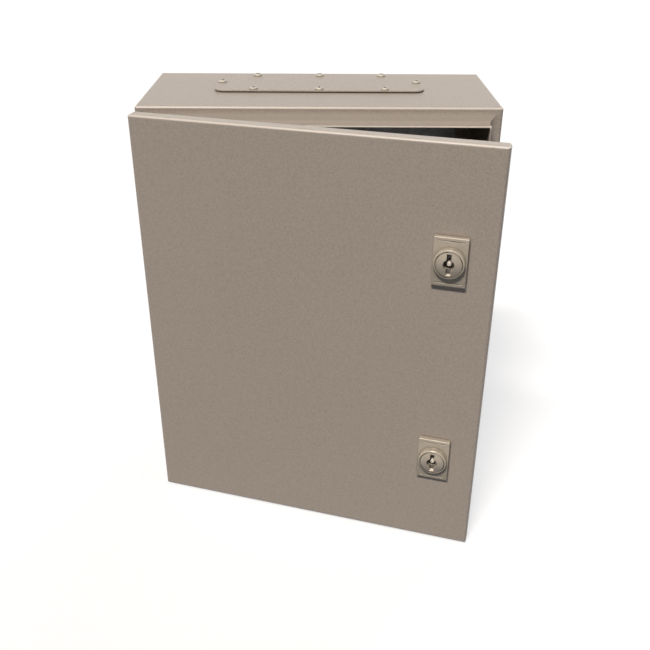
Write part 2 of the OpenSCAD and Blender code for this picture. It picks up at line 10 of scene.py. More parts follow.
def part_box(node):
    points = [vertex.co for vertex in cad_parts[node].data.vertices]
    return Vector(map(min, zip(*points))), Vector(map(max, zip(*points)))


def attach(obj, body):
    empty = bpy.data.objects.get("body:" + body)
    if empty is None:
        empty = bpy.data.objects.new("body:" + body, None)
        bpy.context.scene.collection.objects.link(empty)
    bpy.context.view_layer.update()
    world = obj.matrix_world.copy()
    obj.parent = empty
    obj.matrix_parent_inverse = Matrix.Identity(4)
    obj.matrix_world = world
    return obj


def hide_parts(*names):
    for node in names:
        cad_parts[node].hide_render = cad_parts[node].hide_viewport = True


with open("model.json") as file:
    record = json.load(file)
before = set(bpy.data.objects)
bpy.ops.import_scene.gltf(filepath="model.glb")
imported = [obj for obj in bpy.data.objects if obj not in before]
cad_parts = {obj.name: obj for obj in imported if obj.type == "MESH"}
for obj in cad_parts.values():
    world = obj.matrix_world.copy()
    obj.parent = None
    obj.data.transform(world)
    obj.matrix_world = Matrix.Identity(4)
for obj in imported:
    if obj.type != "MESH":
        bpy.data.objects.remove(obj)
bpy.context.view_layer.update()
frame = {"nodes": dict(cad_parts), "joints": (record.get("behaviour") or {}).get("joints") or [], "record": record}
nodes = frame["nodes"]
joints = {joint["name"]: joint for joint in frame["joints"]}

# Camera: a 650 x 650 picture on a 36 mm sensor
IMAGE_PX = 650
SENSOR_MM = 36.0
FOCAL_PX = 816.35
CAMERA_AT = (0.003677, -1.060471, 0.466140)
CAMERA_X = (0.99998539, -0.00177179, 0.00510609)
CAMERA_Y = (-0.00363091, 0.47957454, 0.87749363)
CAMERA_Z = (-0.00400349, -0.87749936, 0.47956110)
CAMERA_CLIP = (0.01, 100.0)

# Studio: angles in degrees, with azimuth 0 at the front and positive to the right
FLOOR_Z = -0.2505
FLOOR_HALF = 30.0
FLOOR_SHOWN = 0.42
FLOOR_GLOW = 0.65
FLOOR_BOUNCE = (0.085, 0.10, 0.14)
KEY_LEVEL = 1.0
KEY_ELEVATION = 53.0
KEY_AZIMUTHS = (-16.0, -24.0, -32.0)
KEY_ANGLE = 6.0
KEY_COLOUR = (1.0, 0.93, 0.88)
BACK_LEVEL = 0.50
BACK_ELEVATION = 18.0
BACK_AZIMUTH = 150.0
BACK_ANGLE = 40.0
BACK_COLOUR = (0.95, 1.0, 1.06)
WORLD_LEVEL = 0.04
WORLD_COLOUR = (0.96, 0.98, 1.0)
WHITE = (1.0, 1.0, 1.0)

# Colours
PAINT = (0.402, 0.348, 0.293)
# Painted highlight: a paler tone along the horizontal bends of the paint
BEND_HIGHLIGHT_PAINT = (0.70, 0.64, 0.56)
# Painted highlight on the cut edge of the body's lip
CUT_EDGE_HIGHLIGHT_PAINT = (0.92, 0.84, 0.72)
# Painted shade: a darker tone in the hollow before the body's lip
HOLLOW_SHADE_PAINT = (0.325, 0.285, 0.235)
GALVANISED = (0.34, 0.345, 0.35)
BRIGHT_ZINC = (0.62, 0.62, 0.60)
SCREW_ZINC = (0.70, 0.65, 0.55)
PIN_ZINC = (0.74, 0.67, 0.56)
LOCK_METAL = (0.53, 0.467, 0.37)
FOAM = (0.030, 0.029, 0.028)

# Sampling of the edge and recess masks
EDGE_SAMPLES = 4
EDGE_TURN = (0.0, 0.06)
RECESS_SAMPLES = 8


# Node helpers

def feed(tree, socket, value):
    """Links a socket to another one, or sets its value."""
    if isinstance(value, bpy.types.NodeSocket):
        tree.links.new(value, socket)
    else:
        socket.default_value = value


def opaque(colour):
    return (*colour, 1.0)


def add(tree, kind, inputs=None, **props):
    node = tree.nodes.new(kind)
    for key, value in props.items():
        setattr(node, key, value)
    for key, value in (inputs or {}).items():
        feed(tree, node.inputs[key], value)
    return node


def empty_tree(owner, output):
    """Clears the nodes of a material or world and returns its tree and the socket for its surface."""
    owner.use_nodes = True
    tree = owner.node_tree
    tree.nodes.clear()
    return tree, tree.nodes.new(output).inputs["Surface"]


def material(name):
    mat = bpy.data.materials.new(name)
    tree, surface = empty_tree(mat, "ShaderNodeOutputMaterial")
    bsdf = add(tree, "ShaderNodeBsdfPrincipled")
    feed(tree, surface, bsdf.outputs["BSDF"])
    return mat, tree, bsdf


def shade(tree, bsdf, values):
    for key, value in values.items():
        feed(tree, bsdf.inputs[key], value)


def object_coords(tree, scale=(1, 1, 1)):
    coords = add(tree, "ShaderNodeTexCoord")
    mapping = add(tree, "ShaderNodeMapping", {"Vector": coords.outputs["Object"], "Scale": scale})
    return mapping.outputs["Vector"]


def noise_tex(tree, vector, scale, detail, rough=0.5):
    node = add(tree, "ShaderNodeTexNoise", {
        "Vector": vector, "Scale": scale, "Detail": detail, "Roughness": rough,
    })
    return node.outputs["Fac"]


def ramp(tree, value, lo, hi, to_lo=0.0, to_hi=1.0):
    node = add(tree, "ShaderNodeMapRange", {
        "Value": value, "From Min": lo, "From Max": hi, "To Min": to_lo, "To Max": to_hi,
    })
    return node.outputs["Result"]


def falling(tree, value, lo, hi):
    """1 up to lo and 0 from hi."""
    return ramp(tree, value, lo, hi, 1.0, 0.0)


def math_node(tree, operation, a, b=0.0):
    return add(tree, "ShaderNodeMath", {0: a, 1: b}, operation=operation).outputs[0]


def times(tree, a, b):
    return math_node(tree, "MULTIPLY", a, b)


def mix_colour(tree, factor, a, b):
    """Colour a where the factor is 0 and b where it is 1."""
    node = add(tree, "ShaderNodeMix", data_type="RGBA")
    feed(tree, node.inputs[0], factor)
    for index, value in ((6, a), (7, b)):
        feed(tree, node.inputs[index], value if isinstance(value, bpy.types.NodeSocket) else opaque(value))
    return node.outputs[2]


def scaled(colour, factor):
    return tuple(min(1.0, c * factor) for c in colour)


def edge_mask(tree, radius):
    """1 along sharp edges and 0 on open faces, from the difference between a rounded and the true normal.

    Also returns the rounded normal.
    """
    bevel = add(tree, "ShaderNodeBevel", {"Radius": radius}, samples=EDGE_SAMPLES)
    geometry = add(tree, "ShaderNodeNewGeometry")
    dot = add(tree, "ShaderNodeVectorMath", {
        0: bevel.outputs["Normal"], 1: geometry.outputs["Normal"],
    }, operation="DOT_PRODUCT")
    away = math_node(tree, "SUBTRACT", 1.0, dot.outputs["Value"])
    return ramp(tree, away, *EDGE_TURN), bevel.outputs["Normal"]


def recess_mask(tree, reach, lo, hi):
    """1 deep in recesses and 0 on open faces; neighbouring pieces count."""
    open_share = add(
        tree, "ShaderNodeAmbientOcclusion", {"Distance": reach}, samples=RECESS_SAMPLES, only_local=False)
    return falling(tree, open_share.outputs["AO"], lo, hi)


def facing_up(tree):
    """How far a face looks up, in the place that the part has at rest."""
    coords = add(tree, "ShaderNodeTexCoord")
    return add(tree, "ShaderNodeSeparateXYZ", {0: coords.outputs["Normal"]}).outputs["Z"]


def axis_distance(tree, v, joint):
    """Distance from a joint's axis, in the place that the part has at rest."""
    offset = add(tree, "ShaderNodeVectorMath", {0: v, 1: joint["pos_m"]}, operation="SUBTRACT")
    across = add(tree, "ShaderNodeVectorMath", {
        0: offset.outputs[0], 1: joint["axis"],
    }, operation="CROSS_PRODUCT")
    return add(tree, "ShaderNodeVectorMath", {0: across.outputs[0]}, operation="LENGTH").outputs["Value"]


def joint_level(tree, v, joint):
    """Height over a joint's point, in the place that the part has at rest."""
    level = add(tree, "ShaderNodeSeparateXYZ", {0: v}).outputs["Z"]
    return math_node(tree, "SUBTRACT", level, joint["pos_m"][2])


def bump(tree, height, distance, normal=None):
    inputs = {"Height": height, "Distance": distance}
    if normal is not None:
        inputs["Normal"] = normal
    return add(tree, "ShaderNodeBump", inputs).outputs["Normal"]


# Materials. In their values a noise is (scale per metre, detail, roughness), a range is (from, to) or
# (from, to, result at from, result at to), a tone is a share of the colour, and lengths are in metres.
# Ranges named UP are of the upward part of a face's normal.

COAT_CLOUD = (7.0, 3.0)
COAT_MOTTLE = (160.0, 3.0)
COAT_GRAIN = (520.0, 3.0, 0.6)
COAT_PEEL = (620.0, 2.0, 0.45)
CLOUD_RANGE, CLOUD_LOW_TONE, CLOUD_HIGH_TONE = (0.35, 0.65), 0.975, 1.02
MOTTLE_RANGE, MOTTLE_TONE = (0.3, 0.7, 0.0, 0.35), 1.05
PALE_GRAIN_RANGE, PALE_GRAIN_TONE = (0.32, 0.68), 1.07
DARK_GRAIN_RANGE, DARK_GRAIN_TONE = (0.42, 0.72, 0.0, 0.7), 0.80
# Edges paler from rubbing and from a painted highlight
RUB_RADIUS, RUB_RANGE, RUB_AND_HIGHLIGHT_SHARE, RUB_AND_HIGHLIGHT_TONE = 0.0011, (0.42, 0.6, 0.25, 1.0), 0.8, 1.5
# Normals of the bends that get the painted highlight, and of flat tops, which may take a share of it
BEND_UP, FLAT_UP = (0.25, 0.55), (0.82, 0.96)
# Normals of the hollow that gets painted shade
HOLLOW_UP, HOLLOW_FLAT_UP = (0.0, 0.65), (0.78, 1.0)
LIP_LENGTH, LIP_BLEND = 0.020, 0.0004
# Place of the lip's cut edge, which gets a painted highlight
CUT_EDGE_DEPTHS, CUT_EDGE_LEVELS = (0.0003, 0.0009), (0.2310, 0.2325)
# Painted shade where other pieces meet the paint
CONTACT_REACH, CONTACT_RANGE, CONTACT_SHADE_TONE = 0.004, (0.45, 0.72), 0.25
COAT_ROUGHNESS, RUB_GLOSS, HOLLOW_MATT = (0.3, 0.7, 0.38, 0.46), 0.08, 0.4
COAT_SPECULAR = 0.5
COAT_RELIEF, COAT_GRAIN_RELIEF = 0.000035, 0.35


def powder_coat(name, colour, lip=None, top_highlight_share=0.0, contact_shade=0.0):
    """Fine-textured powder coat: orange peel, faint mottling, edges paler from rubbing and from a painted
    highlight, and a painted highlight along horizontal bends.

    lip gives the depths of the body's lip, front and foot. Then only the bends behind its foot get the painted
    highlight, the hollow before it gets painted shade, and the lip's cut edge a painted highlight. The next
    argument is the share of the bends' painted highlight that flat tops take, and the last one the strength of
    the painted shade where other pieces meet the paint.
    """
    mat, tree, bsdf = material(name)
    v = object_coords(tree)
    cloud = noise_tex(tree, v, *COAT_CLOUD)
    mottle = noise_tex(tree, v, *COAT_MOTTLE)
    grain = noise_tex(tree, v, *COAT_GRAIN)
    peel = noise_tex(tree, v, *COAT_PEEL)
    sharp_edge, rounded = edge_mask(tree, RUB_RADIUS)
    # Edges paler from rubbing and from a painted highlight, in patches
    rubbed_and_highlit = times(tree, sharp_edge, ramp(tree, mottle, *RUB_RANGE))
    up = facing_up(tree)

    cloudy = ramp(tree, cloud, *CLOUD_RANGE)
    tone = mix_colour(tree, cloudy, scaled(colour, CLOUD_LOW_TONE), scaled(colour, CLOUD_HIGH_TONE))
    tone = mix_colour(tree, ramp(tree, mottle, *MOTTLE_RANGE), tone, scaled(colour, MOTTLE_TONE))
    tone = mix_colour(tree, ramp(tree, grain, *PALE_GRAIN_RANGE), scaled(colour, PALE_GRAIN_TONE), tone)
    tone = mix_colour(tree, ramp(tree, grain, *DARK_GRAIN_RANGE), tone, scaled(colour, DARK_GRAIN_TONE))
    tone = mix_colour(tree, times(tree, rubbed_and_highlit, RUB_AND_HIGHLIGHT_SHARE), tone, scaled(colour, RUB_AND_HIGHLIGHT_TONE))
    rough = ramp(tree, mottle, *COAT_ROUGHNESS)
    rough = math_node(tree, "SUBTRACT", rough, times(tree, rubbed_and_highlit, RUB_GLOSS))

    # Painted highlight along horizontal bends, and a share of it on flat tops
    bend_highlight = times(tree, ramp(tree, up, *BEND_UP), ramp(tree, up, *FLAT_UP, 1.0, top_highlight_share))
    if lip is None:
        tone = mix_colour(tree, bend_highlight, tone, BEND_HIGHLIGHT_PAINT)
    else:
        lip_front, lip_foot = lip
        place = add(tree, "ShaderNodeSeparateXYZ", {0: v})
        depth = place.outputs["Y"]
        level = math_node(tree, "ABSOLUTE", place.outputs["Z"])
        # Painted shade in the hollow before the lip's foot
        hollow_shade = times(tree, ramp(tree, up, *HOLLOW_UP), falling(tree, up, *HOLLOW_FLAT_UP))
        hollow_shade = times(tree, hollow_shade, falling(tree, depth, lip_foot - LIP_BLEND, lip_foot))
        bend_highlight = times(tree, bend_highlight, ramp(tree, depth, lip_foot - LIP_BLEND, lip_foot))
        # Painted highlight on the lip's cut edge
        edge = falling(tree, depth, *(lip_front + step for step in CUT_EDGE_DEPTHS))
        edge = times(tree, edge, ramp(tree, level, *CUT_EDGE_LEVELS))
        tone = mix_colour(tree, hollow_shade, tone, HOLLOW_SHADE_PAINT)
        tone = mix_colour(tree, bend_highlight, tone, BEND_HIGHLIGHT_PAINT)
        tone = mix_colour(tree, edge, tone, CUT_EDGE_HIGHLIGHT_PAINT)
        rough = math_node(tree, "ADD", rough, times(tree, hollow_shade, HOLLOW_MATT))
    # Painted shade where other pieces meet the paint, from how much of the open sky they hide
    if contact_shade > 0:
        painted_shade = times(tree, recess_mask(tree, CONTACT_REACH, *CONTACT_RANGE), contact_shade)
        tone = mix_colour(tree, painted_shade, tone, scaled(colour, CONTACT_SHADE_TONE))

    height = math_node(tree, "ADD", peel, times(tree, grain, COAT_GRAIN_RELIEF))
    shade(tree, bsdf, {
        "Base Color": tone,
        "Roughness": rough,
        "Specular IOR Level": COAT_SPECULAR,
        "Normal": bump(tree, height, COAT_RELIEF, rounded),
    })
    return mat


PLATE_PATCH = (90.0, 4.0, 0.6)
PLATE_GRAIN_DETAIL = 3.0
PATCH_RANGE, PATCH_LOW_TONE, PATCH_HIGH_TONE = (0.35, 0.65), 0.88, 1.06
PLATE_GRAIN_RANGE, PLATE_GRAIN_TONE = (0.35, 0.65, 0.0, 0.25), 0.75
# Normals of flat tops that get painted shade
TOP_SHADE_UP = (0.82, 0.97)
# Tone of the painted shade on the lower half of a lock
LOWER_SHADE_TONE = 0.2
# Share of the edges' tone on plated parts: worn with a painted highlight, or painted shade on screws
PLATE_EDGE_SHARE = 0.75
# Painted shade in recesses, and the normals of the tops that it may spare
RECESS_SHADE_TONE = 0.05
SPARED_TOP_UP = (0.3, 0.8)
# Tone of the painted highlight
PAINTED_HIGHLIGHT_TONE = 1.9
# Patchy painted shade round the locks' discs and in their grooves
SHADE_PATCHES, PATCHY_SHADE_TONE = (0.40, 0.58, 0.30, 1.0), 0.08
GLOSS_RANGE, GLOSS_BELOW, GLOSS_ABOVE = (0.3, 0.7), 0.06, 0.08
PLATE_RELIEF = 0.00003


def plated(name, colour, rough, metallic=1.0, grain_scale=900.0, edge=0.0005, edge_tone=1.7, shade_reach=0.004,
           shade_at=(0.10, 0.55), spare_tops=False, top_shade=None, lower_shade=None, painted_shade=None, painted_highlight=None):
    """Zinc plating or a satin casting: uneven gloss, fine grain, edges worn and with a painted highlight, and
    painted shade in its recesses.

    edge is the radius and edge_tone the tone of the edges: worn and with a painted highlight, or painted shade
    where that tone is low. The next two arguments are the reach and the range of the painted shade in recesses,
    which spares faces that look up when the one after them is true. The next is the tone of painted shade on
    flat tops. The last three are functions of (tree, v, up) that make masks: painted shade on the lower half,
    patchy painted shade, and a painted highlight.
    """
    mat, tree, bsdf = material(name)
    v = object_coords(tree)
    patch = noise_tex(tree, v, *PLATE_PATCH)
    grain = noise_tex(tree, v, grain_scale, PLATE_GRAIN_DETAIL)
    sharp_edge, rounded = edge_mask(tree, edge)
    up = facing_up(tree)

    patchy = ramp(tree, patch, *PATCH_RANGE)
    tone = mix_colour(tree, patchy, scaled(colour, PATCH_LOW_TONE), scaled(colour, PATCH_HIGH_TONE))
    tone = mix_colour(tree, ramp(tree, grain, *PLATE_GRAIN_RANGE), tone, scaled(colour, PLATE_GRAIN_TONE))
    # Painted shade on flat tops
    if top_shade is not None:
        tone = mix_colour(tree, ramp(tree, up, *TOP_SHADE_UP), tone, scaled(colour, top_shade))
    # Painted shade on the lower half
    if lower_shade is not None:
        tone = mix_colour(tree, lower_shade(tree, v, up), tone, scaled(colour, LOWER_SHADE_TONE))
    # Edges: worn and with a painted highlight, or painted shade where edge_tone is low
    tone = mix_colour(tree, times(tree, sharp_edge, PLATE_EDGE_SHARE), tone, scaled(colour, edge_tone))
    # Painted shade in recesses, sparing faces that look up where asked
    recess_shade = recess_mask(tree, shade_reach, *shade_at)
    if spare_tops:
        recess_shade = times(tree, recess_shade, falling(tree, up, *SPARED_TOP_UP))
    tone = mix_colour(tree, recess_shade, tone, scaled(colour, RECESS_SHADE_TONE))
    # Painted highlight
    if painted_highlight is not None:
        tone = mix_colour(tree, painted_highlight(tree, v, up), tone, scaled(colour, PAINTED_HIGHLIGHT_TONE))
    # Patchy painted shade
    if painted_shade is not None:
        laid = times(tree, painted_shade(tree, v, up), ramp(tree, patch, *SHADE_PATCHES))
        tone = mix_colour(tree, laid, tone, scaled(colour, PATCHY_SHADE_TONE))

    shade(tree, bsdf, {
        "Base Color": tone,
        "Metallic": metallic,
        "Roughness": ramp(tree, patch, *GLOSS_RANGE, rough - GLOSS_BELOW, rough + GLOSS_ABOVE),
        "Normal": bump(tree, grain, PLATE_RELIEF, rounded),
    })
    return mat


SHEET_WARP, SHEET_SHIFT = (60.0, 2.0), 0.006
SHEET_CRYSTALS = 105.0
SHEET_STREAK, SHEET_STRETCH = (55.0, 4.0), (1, 1, 14)
SHEET_FINE = (1300.0, 2.0)
CRYSTAL_LOW_TONE, CRYSTAL_HIGH_TONE = 0.90, 1.08
STREAK_RANGE, STREAK_TONE = (0.4, 0.7, 0.0, 0.3), 0.85
SHEET_WEAR_RADIUS, SHEET_WEAR_SHARE, SHEET_WEAR_TONE = 0.0006, 0.5, 1.3
SHEET_METALLIC = 0.7
SHEET_ROUGHNESS = (0.0, 1.0, 0.42, 0.58)
SHEET_RELIEF, CRYSTAL_RELIEF = 0.00003, 0.4


def galvanised(name, colour):
    """Hot-dip sheet: crystals of different tone and gloss over a rolled surface."""
    mat, tree, bsdf = material(name)
    v = object_coords(tree)
    warp = times(tree, noise_tex(tree, v, *SHEET_WARP), SHEET_SHIFT)
    shift = add(tree, "ShaderNodeCombineXYZ", {"X": warp, "Y": warp, "Z": warp})
    moved = add(tree, "ShaderNodeVectorMath", {0: v, 1: shift.outputs[0]}, operation="ADD")
    cells = add(tree, "ShaderNodeTexVoronoi", {"Vector": moved.outputs[0], "Scale": SHEET_CRYSTALS})
    crystal = add(tree, "ShaderNodeSeparateColor", {0: cells.outputs["Color"]})
    streak = noise_tex(tree, object_coords(tree, SHEET_STRETCH), *SHEET_STREAK)
    fine = noise_tex(tree, v, *SHEET_FINE)
    sharp_edge, rounded = edge_mask(tree, SHEET_WEAR_RADIUS)

    tone = mix_colour(
        tree, crystal.outputs[0], scaled(colour, CRYSTAL_LOW_TONE), scaled(colour, CRYSTAL_HIGH_TONE))
    tone = mix_colour(tree, ramp(tree, streak, *STREAK_RANGE), tone, scaled(colour, STREAK_TONE))
    tone = mix_colour(tree, times(tree, sharp_edge, SHEET_WEAR_SHARE), tone, scaled(colour, SHEET_WEAR_TONE))

    height = math_node(tree, "ADD", times(tree, crystal.outputs[2], CRYSTAL_RELIEF), fine)
    shade(tree, bsdf, {
        "Base Color": tone,
        "Metallic": SHEET_METALLIC,
        "Roughness": ramp(tree, crystal.outputs[1], *SHEET_ROUGHNESS),
        "Normal": bump(tree, height, SHEET_RELIEF, rounded),
    })
    return mat


FOAM_PORES = 1100.0
FOAM_SKIN = (220.0, 3.0)
SCUFF_RANGE, SCUFF_TONE = (0.35, 0.7), 1.8
PORE_RANGE, PORE_TONE = (0.0, 0.35, 0.6, 0.0), 0.4
FOAM_ROUGHNESS = (0.3, 0.7, 0.62, 0.82)
FOAM_SPECULAR = 0.3
FOAM_RELIEF, PORE_RELIEF = 0.00012, (0.0, 0.4)


def foam_rubber(name, colour):
    """Closed-cell foam: a matt skin with fine pores and paler scuffs."""
    mat, tree, bsdf = material(name)
    v = object_coords(tree)
    pores = add(tree, "ShaderNodeTexVoronoi", {"Vector": v, "Scale": FOAM_PORES}).outputs["Distance"]
    skin = noise_tex(tree, v, *FOAM_SKIN)
    tone = mix_colour(tree, ramp(tree, skin, *SCUFF_RANGE), colour, scaled(colour, SCUFF_TONE))
    tone = mix_colour(tree, ramp(tree, pores, *PORE_RANGE), tone, scaled(colour, PORE_TONE))
    height = math_node(tree, "ADD", ramp(tree, pores, *PORE_RELIEF), skin)
    shade(tree, bsdf, {
        "Base Color": tone,
        "Roughness": ramp(tree, skin, *FOAM_ROUGHNESS),
        "Specular IOR Level": FOAM_SPECULAR,
        "Normal": bump(tree, height, FOAM_RELIEF),
    })
    return mat


# Painted shade and painted highlight on the locks: distances from the lock's axis, and heights over it
DISC_RIM = (0.0130, 0.0136)
SLOT_END, SLOT_END_UP = (0.0105, 0.0110), (0.5, 0.8)
POCKET_WALL, POCKET_EDGE = (0.0139, 0.0140), (0.0143, 0.0149)
GROOVE_OFFSET, GROOVE_SIDE, GROOVE_END = 0.02325, (0.0004, 0.0007), (0.0262, 0.0268)
GROOVE_UP = (0.1, 0.4)
# Painted shade, darker towards the bottom of a lock
LOWER_SHADE_RANGE = (-0.008, 0.007, 0.475, 0.0)


def lower_half_shade(joint):
    """Painted shade on the lower half of a lock, darker towards the bottom."""
    return lambda tree, v, up: ramp(tree, joint_level(tree, v, joint), *LOWER_SHADE_RANGE)


def disc_rim_shade(joint):
    """Painted shade along the rim of a lock's disc."""
    return lambda tree, v, up: ramp(tree, axis_distance(tree, v, joint), *DISC_RIM)


def slot_end_highlight(joint):
    """Painted highlight on the slot's lower end."""
    def mask(tree, v, up):
        away = axis_distance(tree, v, joint)
        return times(tree, ramp(tree, away, *SLOT_END), ramp(tree, up, *SLOT_END_UP))
    return mask


def pocket_and_groove_shade(joint):
    """Painted shade round the disc's pocket and in the face plate's grooves, but not on walls that face up there.
    """
    def mask(tree, v, up):
        away = axis_distance(tree, v, joint)
        pocket = times(tree, ramp(tree, away, *POCKET_WALL), falling(tree, away, *POCKET_EDGE))
        level = math_node(tree, "ABSOLUTE", joint_level(tree, v, joint))
        aside = math_node(tree, "ABSOLUTE", math_node(tree, "SUBTRACT", level, GROOVE_OFFSET))
        groove = times(tree, falling(tree, aside, *GROOVE_SIDE), falling(tree, away, *GROOVE_END))
        groove = times(tree, groove, falling(tree, up, *GROOVE_UP))
        return math_node(tree, "MAXIMUM", pocket, groove)
    return mask


# Finishes: by the record's material slot, and the nodes' own
# Strength of the painted shade where other pieces meet the paint
CONTACT_SHADE_STRENGTH = 0.6
# Share of the bends' painted highlight that the door's flat tops take
DOOR_TOP_HIGHLIGHT_SHARE = 0.26
# Tone of the painted shade on the housings' flat tops
HOUSING_TOP_SHADE = 0.72
ZINC_LOOK = dict(rough=0.30)
# Screws: dark edges are painted shade round the cross recess and the head's rim
SCREW_LOOK = dict(rough=0.38, metallic=0.1, edge=0.0010, edge_tone=0.08, shade_reach=0.0025, shade_at=(0.25, 0.75))
PIN_LOOK = dict(rough=0.40, metallic=0.25, shade_reach=0.002)
# Locks: painted shade deep in recesses, sparing faces that look up
LOCK_LOOK = dict(
    rough=0.34, metallic=0.04, grain_scale=1400.0, shade_reach=0.008, shade_at=(0.18, 0.82), spare_tops=True)

finishes = {
    "paint": powder_coat("paint_powder_coat", PAINT),
    "galvanised": galvanised("galvanised_sheet", GALVANISED),
    "bright_zinc": plated("bright_zinc", BRIGHT_ZINC, **ZINC_LOOK),
    "screw_zinc": plated("screw_zinc", SCREW_ZINC, **SCREW_LOOK),
    "foam": foam_rubber("foam_seal", FOAM),
}
body_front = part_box("enclosure_body")[0].y
own_finishes = {
    "enclosure_body": powder_coat(
        "body_powder_coat", PAINT, lip=(body_front, body_front + LIP_LENGTH), contact_shade=CONTACT_SHADE_STRENGTH),
    "door_panel": powder_coat(
        "door_powder_coat", PAINT, top_highlight_share=DOOR_TOP_HIGHLIGHT_SHARE, contact_shade=CONTACT_SHADE_STRENGTH),
}
pin_finish = plated("key_pin_zinc", PIN_ZINC, **PIN_LOOK)
for side in ("upper", "lower"):
    lock_joint = joints[side + "_lock_turn"]
    own_finishes[side + "_key_pin"] = pin_finish
    own_finishes[side + "_lock_housing"] = plated(
        side + "_housing_die_cast", LOCK_METAL, **LOCK_LOOK, top_shade=HOUSING_TOP_SHADE,
        lower_shade=lower_half_shade(lock_joint), painted_shade=pocket_and_groove_shade(lock_joint))
    own_finishes[side + "_lock_insert"] = plated(
        side + "_insert_die_cast", LOCK_METAL, **LOCK_LOOK,
        lower_shade=lower_half_shade(lock_joint), painted_shade=disc_rim_shade(lock_joint), painted_highlight=slot_end_highlight(lock_joint))
node_slots = {subpart["node"]: subpart["material_slot"] for subpart in frame["record"]["subparts"]}
for name, obj in nodes.items():
    obj.data.materials.clear()
    obj.data.materials.append(own_finishes.get(name) or finishes[node_slots[name]])


# Mesh helpers

def placed(name, data):
    """A new object in the scene."""
    obj = bpy.data.objects.new(name, data)
    bpy.context.scene.collection.objects.link(obj)
    return obj


def mesh_piece(name, verts, faces, body, slot, smooth_angle=35.0):
    mesh = bpy.data.meshes.new(name)
    mesh.from_pydata(verts, [], faces)
    mesh.update()
    mesh.polygons.foreach_set("use_smooth", [True] * len(mesh.polygons))
    mesh.set_sharp_from_angle(angle=radians(smooth_angle))
    mesh.materials.append(finishes[slot])
    obj = placed(name, mesh)
    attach(obj, body)
    return obj


def loop_faces(rows, cols, close_rows):
    """Quads of a grid whose columns close on themselves, and whose rows may."""
    faces = []
    for i in range(rows if close_rows else rows - 1):
        for j in range(cols):
            a, b = i * cols + j, i * cols + (j + 1) % cols
            k = (i + 1) % rows
            faces.append((a, b, k * cols + (j + 1) % cols, k * cols + j))
    return faces


def add_rings(verts, faces, place, rings):
    """Adds a closed solid round z from rings of (radius, height) points, with as many points in each."""
    first, sides = len(verts), len(rings[0])
    for ring in rings:
        for j, (r, z) in enumerate(ring):
            verts.append(place @ Vector((r * cos(tau * j / sides), r * sin(tau * j / sides), z)))
    last = len(verts) - sides
    faces += [tuple(first + n for n in face) for face in loop_faces(len(rings), sides, False)]
    faces.append(tuple(first + j for j in reversed(range(sides))))
    faces.append(tuple(last + j for j in range(sides)))


def place_along(origin, direction):
    return Matrix.Translation(origin) @ Vector(direction).to_track_quat("Z", "Y").to_matrix().to_4x4()


# The door at rest: the closed door turned on its hinge
door_joint = joints["door_hinge"]
pivot = Vector(door_joint["pos_m"])
ajar = -radians(door_joint["range_deg"][0])
door_turn = Matrix.Translation(pivot) @ Matrix.Rotation(-ajar, 4, "Z") @ Matrix.Translation(-pivot)
door_back = door_turn.inverted()


def closed_box(name):
    """Lowest and highest corner of a door node in the closed door's place."""
    points = [door_back @ vert.co for vert in nodes[name].data.vertices]
    return tuple(Vector(end(p[i] for p in points) for i in range(3)) for end in (min, max))


# The door's seal: lengths in metres; press and swell are shares of the section
BEAD_HALF_WIDTH = 0.006
BEAD_CORNER, BEAD_CORNER_STEPS = 0.010, 10
BEAD_STEP = 0.004
BEAD_POINTS = 25
CROWN_FLATNESS, CROWN_FULLNESS = 2.6, 0.75
PRESS_DEPTH, PRESS_HALF_WIDTH = 0.10, 0.16
SWAY, SWAY_SCALE, SWAY_LAYER = 0.00015, 30, 3.0
SWELL_SCALE, SWELL_LAYER = 55, 9.0
SWELL_WIDTH, SWELL_HEIGHT = 0.03, 0.025
BEAD_SMOOTH_ANGLE = 60.0


def bead_path(lo, hi):
    """The middle of the bead round the door, as points (x, z) with their outward direction."""
    a, b = (hi.x - lo.x) / 2 - BEAD_HALF_WIDTH, (hi.z - lo.z) / 2 - BEAD_HALF_WIDTH
    cx, cz = (hi.x + lo.x) / 2, (hi.z + lo.z) / 2
    corners = []
    for quarter, (sx, sz) in enumerate(((1, 1), (-1, 1), (-1, -1), (1, -1))):
        mx, mz = cx + sx * (a - BEAD_CORNER), cz + sz * (b - BEAD_CORNER)
        for k in range(BEAD_CORNER_STEPS + 1):
            t = pi / 2 * (quarter + k / BEAD_CORNER_STEPS)
            corners.append((mx + BEAD_CORNER * cos(t), mz + BEAD_CORNER * sin(t), cos(t), sin(t)))
    path = []
    for p, q in zip(corners, corners[1:] + corners[:1]):
        gap = sqrt((p[0] - q[0]) ** 2 + (p[1] - q[1]) ** 2)
        count = max(1, round(gap / BEAD_STEP))
        path += [tuple(p[i] + (q[i] - p[i]) * k / count for i in range(4)) for k in range(count)]
    return path


def bead_section():
    """Points (across from -1 to 1, height from 0 to 1) of a crown with a press line along its middle."""
    section = []
    for k in range(BEAD_POINTS):
        u = 2 * k / (BEAD_POINTS - 1) - 1
        crown = (1 - abs(u) ** CROWN_FLATNESS) ** CROWN_FULLNESS
        press = PRESS_DEPTH * max(0.0, 1 - (u / PRESS_HALF_WIDTH) ** 2)
        section.append((u, crown - press))
    return section


